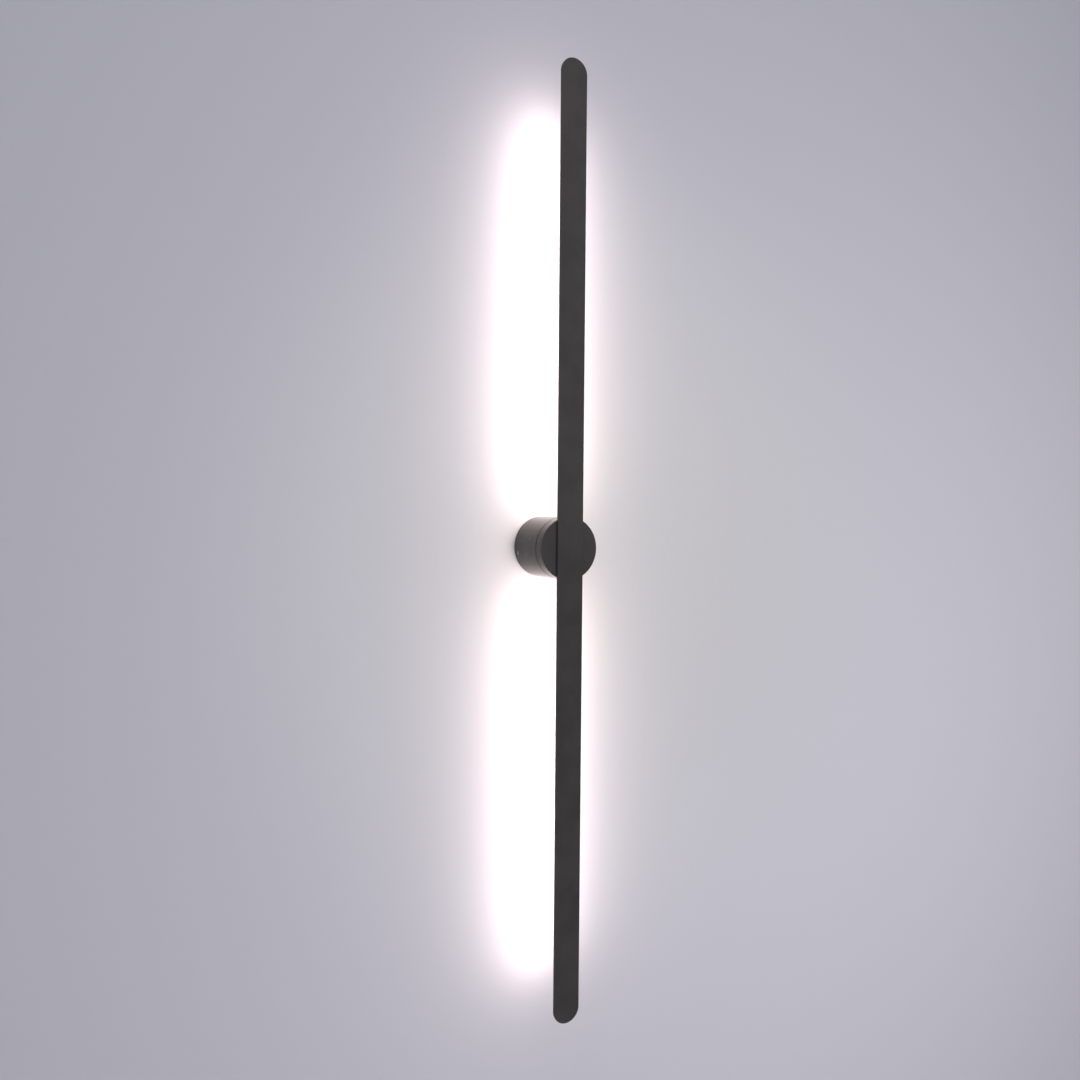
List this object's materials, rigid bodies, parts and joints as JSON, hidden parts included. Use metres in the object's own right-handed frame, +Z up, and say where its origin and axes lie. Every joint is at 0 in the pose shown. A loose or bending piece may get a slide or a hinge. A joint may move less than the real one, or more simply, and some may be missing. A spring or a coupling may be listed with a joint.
{
  "type": "wall sconce",
  "caption": "Slim upright light bar with round ends on a round wall hub; lit towards the wall, and the bar turns on the hub.",
  "frame": {"origin": "on the hub's axis at the wall plane, the middle of the bracket's two screw slots", "axes": "+X right along the wall, +Y into the wall, +Z up along the bar; the room is towards -Y"},
  "size_m": [0.066, 0.0645, 1],
  "materials": {
    "black_coat": "matt black powder coat on aluminium",
    "black_plastic": "moulded black plastic",
    "black_steel": "blackened steel",
    "zinc_steel": "zinc-plated steel",
    "spring_steel": "bright spring steel",
    "brass": "plain brass",
    "nylon": "natural nylon",
    "rubber": "black rubber",
    "white_plastic": "moulded white plastic",
    "circuit_board": "green solder mask",
    "transformer_tape": "yellow polyester tape",
    "capacitor_sleeve": "black shrink sleeve",
    "mains_insulation": "grey lead insulation",
    "lead_insulation": "white lead insulation",
    "led_board": "white solder mask",
    "led_phosphor": "yellow phosphor",
    "opal_diffuser": "opal acrylic, lit from inside"
  },
  "bodies": {
    "base": {"base_cup": "black_coat", "wall_bracket": "zinc_steel", "grub_screws": "black_steel", "cable_grommet": "rubber", "earth_screw": "brass", "terminal_block": "white_plastic", "terminal_screws": "zinc_steel", "driver_case": "white_plastic", "driver_lid": "white_plastic", "driver_board": "circuit_board", "driver_transformer": "transformer_tape", "driver_capacitor": "capacitor_sleeve", "driver_screws": "zinc_steel", "mains_leads": "mains_insulation", "driver_leads": "lead_insulation", "pivot_bush": "nylon", "slide_washer": "nylon"},
    "head": {"swivel_head": "black_coat", "bar_profile": "black_coat", "end_cap_upper": "black_plastic", "end_cap_lower": "black_plastic", "bar_screws": "zinc_steel", "pivot_screws": "zinc_steel", "pivot_tube": "zinc_steel", "pivot_nut": "zinc_steel", "disc_spring": "spring_steel", "stop_pin": "spring_steel", "lamp_leads_upper": "lead_insulation", "lamp_leads_lower": "lead_insulation", "led_board_upper": "led_board", "led_board_lower": "led_board", "led_chips_upper": "led_phosphor", "led_chips_lower": "led_phosphor", "diffuser_upper": "opal_diffuser", "diffuser_lower": "opal_diffuser"}
  },
  "joints": [
    {"name": "bar_swivel", "type": "hinge", "parent": "base", "child": "head", "pos_m": [0, -0.05, 0], "axis": [0, 1, 0], "range_deg": [-165, 165]}
  ]
}
